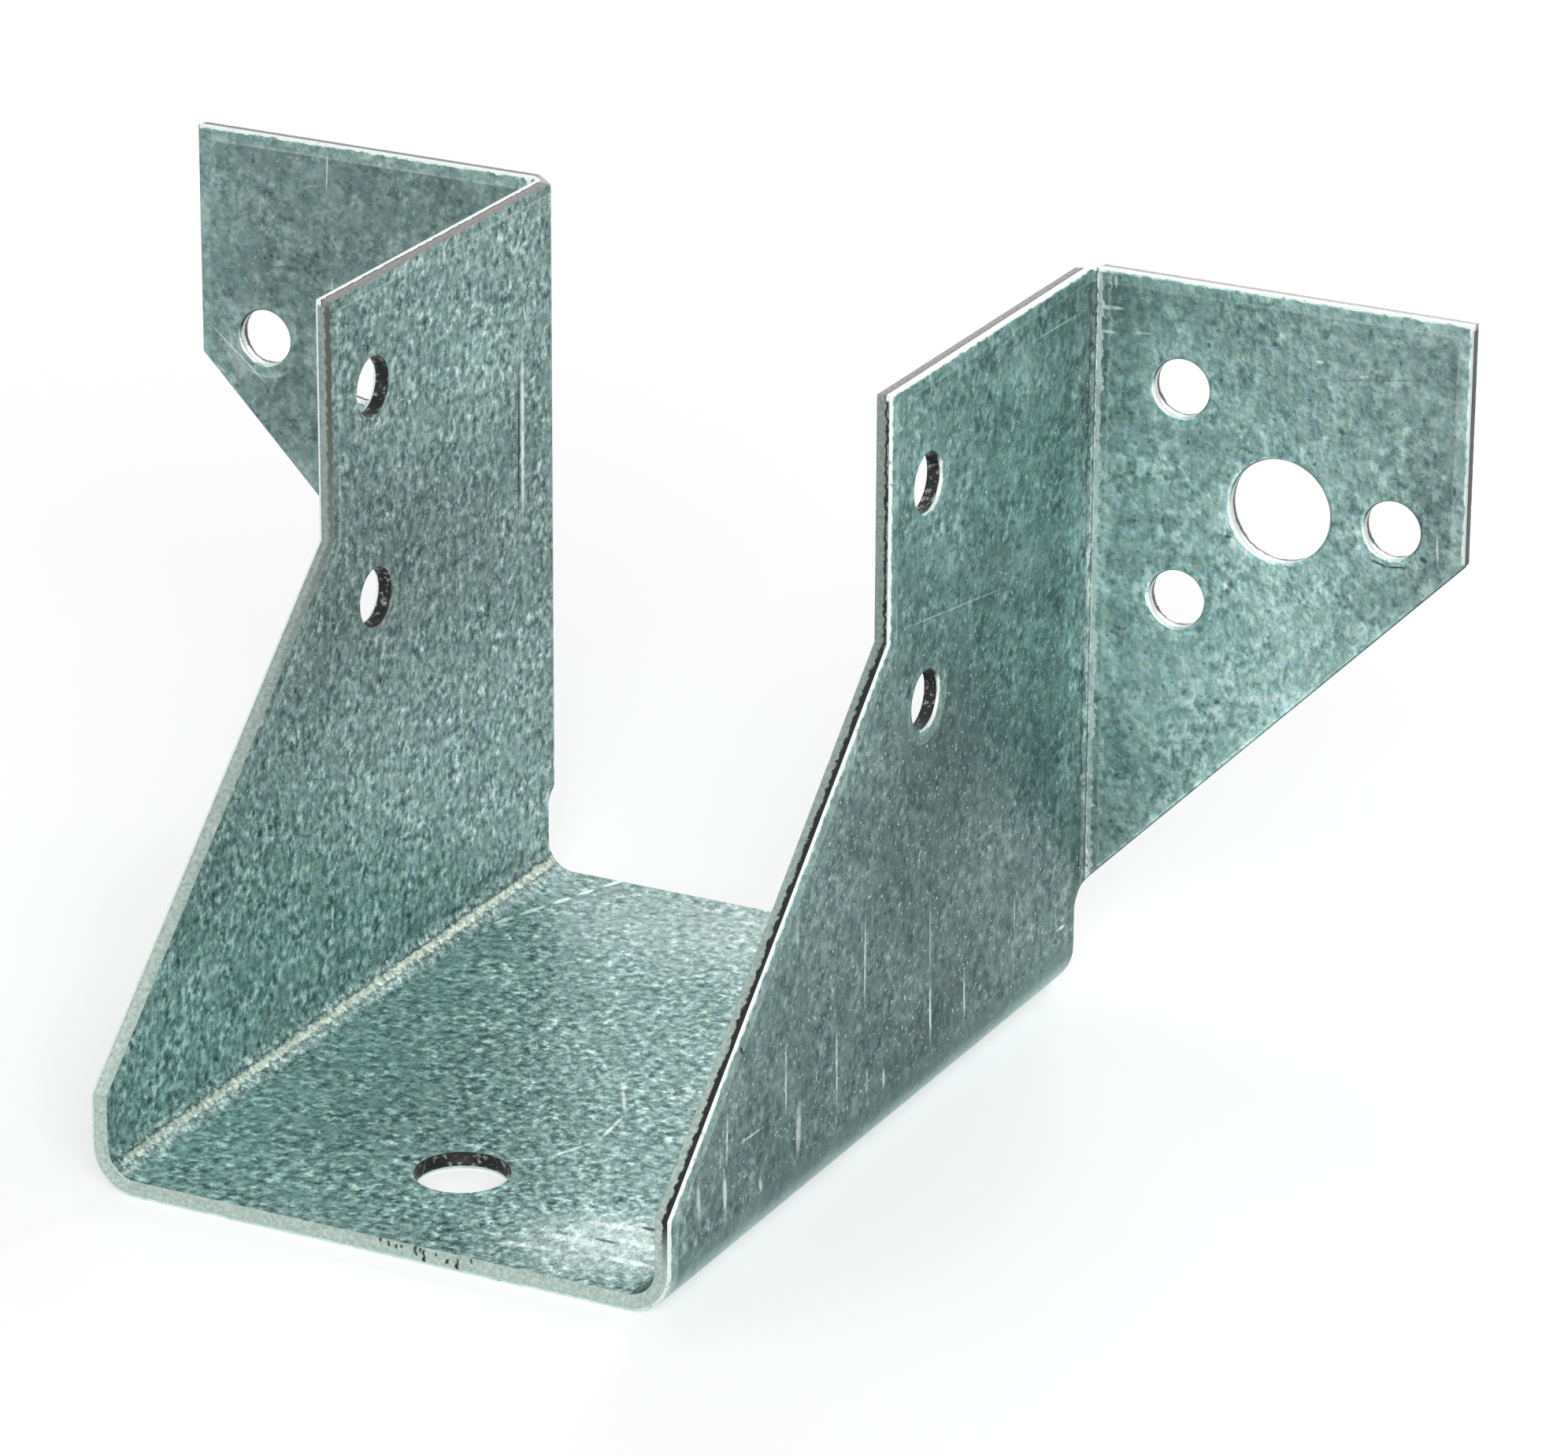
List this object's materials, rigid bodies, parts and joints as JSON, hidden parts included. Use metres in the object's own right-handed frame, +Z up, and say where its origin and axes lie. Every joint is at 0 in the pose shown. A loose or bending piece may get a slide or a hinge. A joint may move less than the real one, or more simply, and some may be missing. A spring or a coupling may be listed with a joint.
{
  "type": "joist hanger",
  "caption": "Face-mount joist hanger folded from galvanised sheet: a flat seat, side panels with slanting fronts and outturned flanges with nail and bolt holes.",
  "frame": {"origin": "on the centre plane, midway between the seat's front edge and the header face, on the seat's underside", "axes": "+X across the hanger to its right flange seen from the joist's side, +Y along the joist towards the header, +Z up from the seat"},
  "size_m": [0.121, 0.077, 0.065],
  "materials": {
    "galvanised_sheet": "hot-dip galvanised, mottled satin grey"
  },
  "bodies": {
    "root": {"hanger": "galvanised_sheet"}
  },
  "joints": []
}
